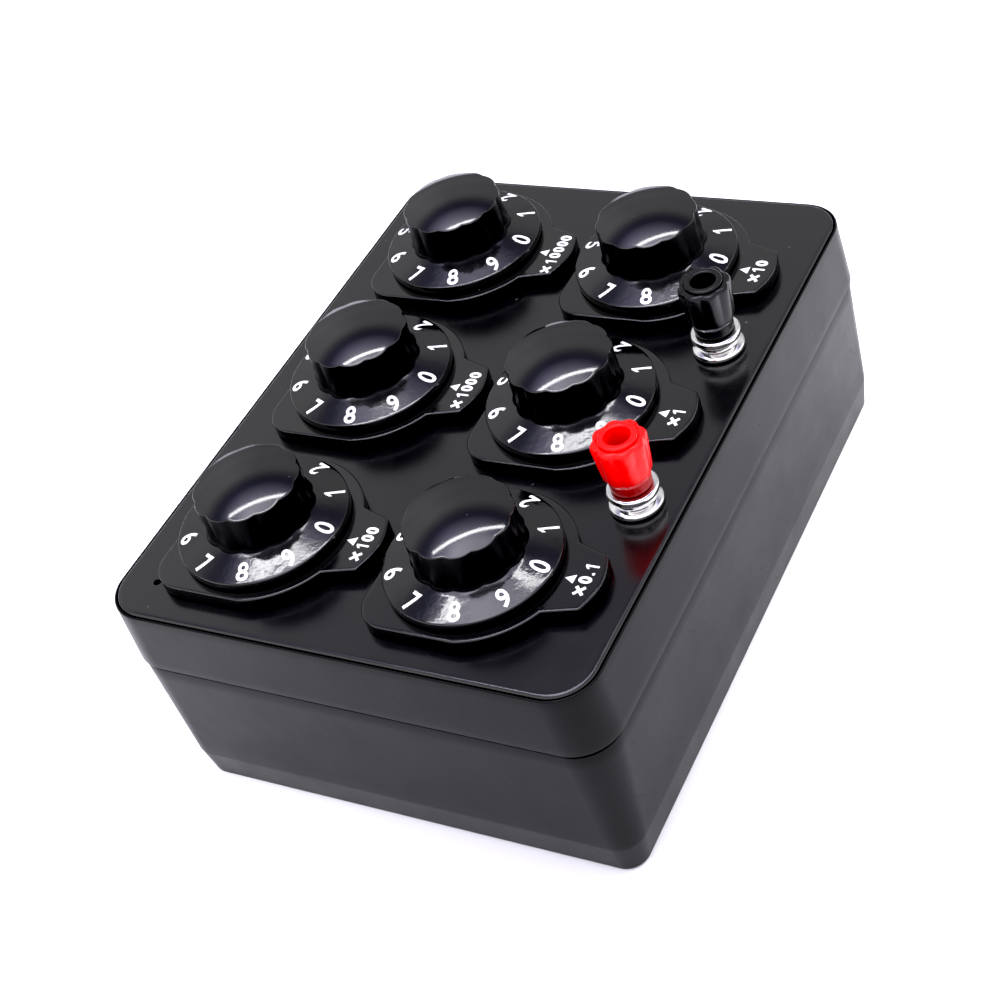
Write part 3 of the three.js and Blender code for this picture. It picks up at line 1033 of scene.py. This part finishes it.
def build_post(name, x, y):
    z0 = PANEL_TOP
    # turned stud: flange with a rounded upper edge, waist, body with the socket
    prof = [(0, -11.5), (1.7, -11.5), (2.0, -11.2), (2.0, 0.3), (5.6, 0.3), (5.9, 0.6), (5.9, 1.4), (4.55, 1.9), (4.25, 2.1), (4.25, 3.4), (4.1, 3.5), (3.0, 3.5), (3.0, 12.7), (2.75, 13.0), (2.1, 13.0), (2.1, 3.8), (0, 3.2)]
    b = Build()
    turned(b, soften(prof, {5: 0.2, 6: 0.62, 7: 0.2, 8: 0.2, 10: 0.15, 12: 0.15}, 7), 72, x, y, z0)
    make(f"post_stud_{name}_fine", b.v, b.f, ["nickel"], "case", [f"post_stud_{name}"], sharp=30)
    # loose washer
    prof = [(3.35, 3.95), (3.5, 3.8), (5.35, 3.8), (5.58, 4.05), (5.58, 5.1), (5.2, 5.4), (3.5, 5.4), (3.35, 5.25), (3.35, 3.95)]
    b = Build()
    turned(b, soften(prof, {1: 0.1, 2: 0.15, 3: 0.2, 4: 0.35, 5: 0.3, 6: 0.1}, 4), 72, x, y, z0)
    make(f"clamp_washer_{name}_fine", b.v, b.f, ["nickel"], f"{name}_clamp", [f"clamp_washer_{name}"], sharp=30)
    # thumb nut: smooth neck, lobed grip with a rounded top edge, raised ring round the bore
    b = Build()
    n = 192
    th = [360 * k / n for k in range(n)]

    def ring(fn):
        pts = []
        for t in th:
            r, z = fn(t)
            a = math.radians(t)
            pts.append((x + r * math.cos(a), y + r * math.sin(a), z0 + z))
        return b.ring(pts)

    rings = []
    for r, z in ((3.4, 13.5), (3.4, 5.9), (3.6, 5.7), (4.2, 5.7), (4.46, 5.95), (4.48, 8.0)):
        rings.append(ring(lambda t, r=r, z=z: (r, z)))
    for k in range(1, 7):
        u = k / 6
        w = u * u * (3 - 2 * u)
        def f(t, u=u, w=w):
            return 4.48 + (nut_radius(t, 9.6) - 4.48) * w, 8.0 + 1.6 * u
        rings.append(ring(f))
    for z in (11.0, 12.5, 14.0, 15.5, 16.6, 17.4):
        rings.append(ring(lambda t, z=z: (nut_radius(t, z), z)))
    for k in range(1, 8):
        a = math.pi / 2 * k / 7
        def f(t, a=a):
            return nut_radius(t, 17.4) - 0.85 * (1 - math.cos(a)), 17.4 + 1.0 * math.sin(a)
        rings.append(ring(f))
    tail = soften([(4.62, 18.40), (4.42, 18.40), (4.36, 18.1), (4.22, 18.1), (4.20, 19.05), (2.75, 19.05), (2.75, 13.5), (3.4, 13.5)], {1: 0.1, 3: 0.05, 4: 0.45, 5: 0.45}, 6)
    for r, z in tail[:-1]:
        def f(t, r=r, z=z):
            lim = nut_radius(t, 17.4) - 0.87
            return (min(r, lim) if r > 4.3 else r), z
        rings.append(ring(f))
    for k in range(len(rings) - 1):
        b.strip(rings[k], rings[k + 1])
    b.strip(rings[-1], rings[0])
    make(f"thumb_nut_{name}_fine", b.v, b.f, ["red" if name == "red" else "black"], f"{name}_nut", [f"thumb_nut_{name}"], sharp=40)


for name, (x, y) in POSTS.items():
    build_post(name, x, y)

# ---------------------------------------------------------------- carried-over pieces inside
INNER = {"bush_nut": "nickel", "switch_body": "phenolic", "switch_shaft": "steel", "wiper": "brass", "resistor_chain": "resistor",
         "solder_tag": "brass", "stud_nut": "steel", "case_screw": "steel"}
for node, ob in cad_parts.items():
    for k, m in INNER.items():
        if node.startswith(k):
            ob.data.materials.clear()
            ob.data.materials.append(MATS[m])

# ---------------------------------------------------------------- stage and light
fl = Mat("floor_paper", (0.86, 0.86, 0.86), 0.9, spec=0.1)
fl.color(fl.ramp(fl.noise(3, 2.0), [(0.3, (0.85, 0.85, 0.85)), (0.7, (0.875, 0.875, 0.875))]))
me = bpy.data.meshes.new("floor")
me.from_pydata([(-4, -4, 0), (4, -4, 0), (4, 4, 0), (-4, 4, 0)], [], [(0, 1, 2, 3)])
me.materials.append(fl.m)
floor = bpy.data.objects.new("floor", me)
COLL.objects.link(floor)

world = bpy.data.worlds.new("studio")
world.use_nodes = True
wt = world.node_tree
wt.nodes.clear()
wo = wt.nodes.new("ShaderNodeOutputWorld")
wb = wt.nodes.new("ShaderNodeBackground")
wc = wt.nodes.new("ShaderNodeTexCoord")
ws = wt.nodes.new("ShaderNodeSeparateXYZ")
wr = wt.nodes.new("ShaderNodeValToRGB")
wt.links.new(wc.outputs["Generated"], ws.inputs[0])
wt.links.new(ws.outputs["Z"], wr.inputs[0])
wt.links.new(wr.outputs[0], wb.inputs[0])
# the walls beside and behind the viewer are brighter low down
wn = wt.nodes.new("ShaderNodeMath")
wn.operation = "ADD"
wt.links.new(ws.outputs["X"], wn.inputs[0])
wt.links.new(ws.outputs["Y"], wn.inputs[1])
wp = wt.nodes.new("ShaderNodeMapRange")
wq = wt.nodes.new("ShaderNodeMapRange")
for nd, vals in ((wp, (0.55, 0.0, 0.0, 0.9)), (wq, (0.60, 0.75, 1.0, 0.0))):
    for key, v in zip(("From Min", "From Max", "To Min", "To Max"), vals):
        nd.inputs[key].default_value = v
wt.links.new(wn.outputs[0], wp.inputs["Value"])
wt.links.new(ws.outputs["Z"], wq.inputs["Value"])
wx = wt.nodes.new("ShaderNodeMath")
wx.operation = "MULTIPLY"
wt.links.new(wp.outputs[0], wx.inputs[0])
wt.links.new(wq.outputs[0], wx.inputs[1])
wb2 = wt.nodes.new("ShaderNodeBackground")
wb2.inputs[0].default_value = (1.0, 0.99, 1.0, 1)
wt.links.new(wx.outputs[0], wb2.inputs[1])
wa = wt.nodes.new("ShaderNodeAddShader")
wt.links.new(wb.outputs[0], wa.inputs[0])
wt.links.new(wb2.outputs[0], wa.inputs[1])
wt.links.new(wa.outputs[0], wo.inputs[0])
stops = [(0.0, (0.14, 0.14, 0.147)), (0.12, (0.18, 0.18, 0.187)), (0.22, (0.24, 0.24, 0.25)), (0.32, (0.29, 0.29, 0.30)), (0.42, (0.32, 0.32, 0.335)),
         (0.52, (0.392, 0.39, 0.402)), (0.60, (0.425, 0.422, 0.436)), (0.65, (0.41, 0.406, 0.43)), (0.69, (0.315, 0.31, 0.345)), (0.73, (0.21, 0.205, 0.255)),
         (0.77, (0.145, 0.14, 0.21)), (0.81, (0.15, 0.145, 0.25)), (0.85, (0.42, 0.40, 0.58)), (0.89, (0.80, 0.76, 1.08)), (0.93, (1.35, 1.30, 1.68)), (0.97, (2.5, 2.42, 2.85))]
e = wr.color_ramp.elements
while len(e) < len(stops):
    e.new(0.5)
for el, (p, c) in zip(e, stops):
    el.position, el.color = p, (*c, 1)
wb.inputs[1].default_value = 2.0
SCENE.world = world

# the backdrop is a little brighter towards the back left
wy = wt.nodes.new("ShaderNodeMath")
wy.operation = "SUBTRACT"
wt.links.new(ws.outputs["Y"], wy.inputs[0])
wt.links.new(ws.outputs["X"], wy.inputs[1])
wm = wt.nodes.new("ShaderNodeMapRange")
for key, v in (("From Min", -0.15), ("From Max", 0.22), ("To Min", 1.9), ("To Max", 2.6)):
    wm.inputs[key].default_value = v
wt.links.new(wy.outputs[0], wm.inputs["Value"])
wt.links.new(wm.outputs[0], wb.inputs[1])


def lamp(name, size, loc, energy, rot=(0, 0, 0), glossy=True):
    ld = bpy.data.lights.new(name, "AREA")
    ld.shape = "RECTANGLE"
    ld.size, ld.size_y = size
    ld.energy = energy
    lo = bpy.data.objects.new(name, ld)
    lo.location = loc
    lo.rotation_euler = rot
    lo.visible_camera = False
    lo.visible_glossy = glossy
    COLL.objects.link(lo)


# long strip lamp overhead, a wide soft fill, and two low lamps that light the floor at the back left and at the right
LAMP_DIR = (0.670, -0.742)
lamp("strip", (1.10, 0.060), (0.268 + 0.02 * LAMP_DIR[0], 0.242 + 0.02 * LAMP_DIR[1], 1.20), 5.0, (0, 0, math.atan2(LAMP_DIR[1], LAMP_DIR[0])))
lamp("fill", (3.0, 3.0), (0.0, 0.0, 2.6), 6.0, glossy=False)
lamp("floor_left", (0.12, 0.12), (-0.20, 0.20, 0.13), 0.52, glossy=False)
lamp("floor_right", (0.30, 0.14), (0.21, -0.22, 0.17), 1.25, glossy=False)

SCENE.view_settings.view_transform = "Standard"
SCENE.view_settings.look = "None"
SCENE.view_settings.exposure = 0
SCENE.view_settings.gamma = 1
# the photograph's deep blacks
SCENE.view_settings.use_curve_mapping = True
SCENE.view_settings.curve_mapping.black_level = (0.005, 0.005, 0.005)
SCENE.view_settings.curve_mapping.update()
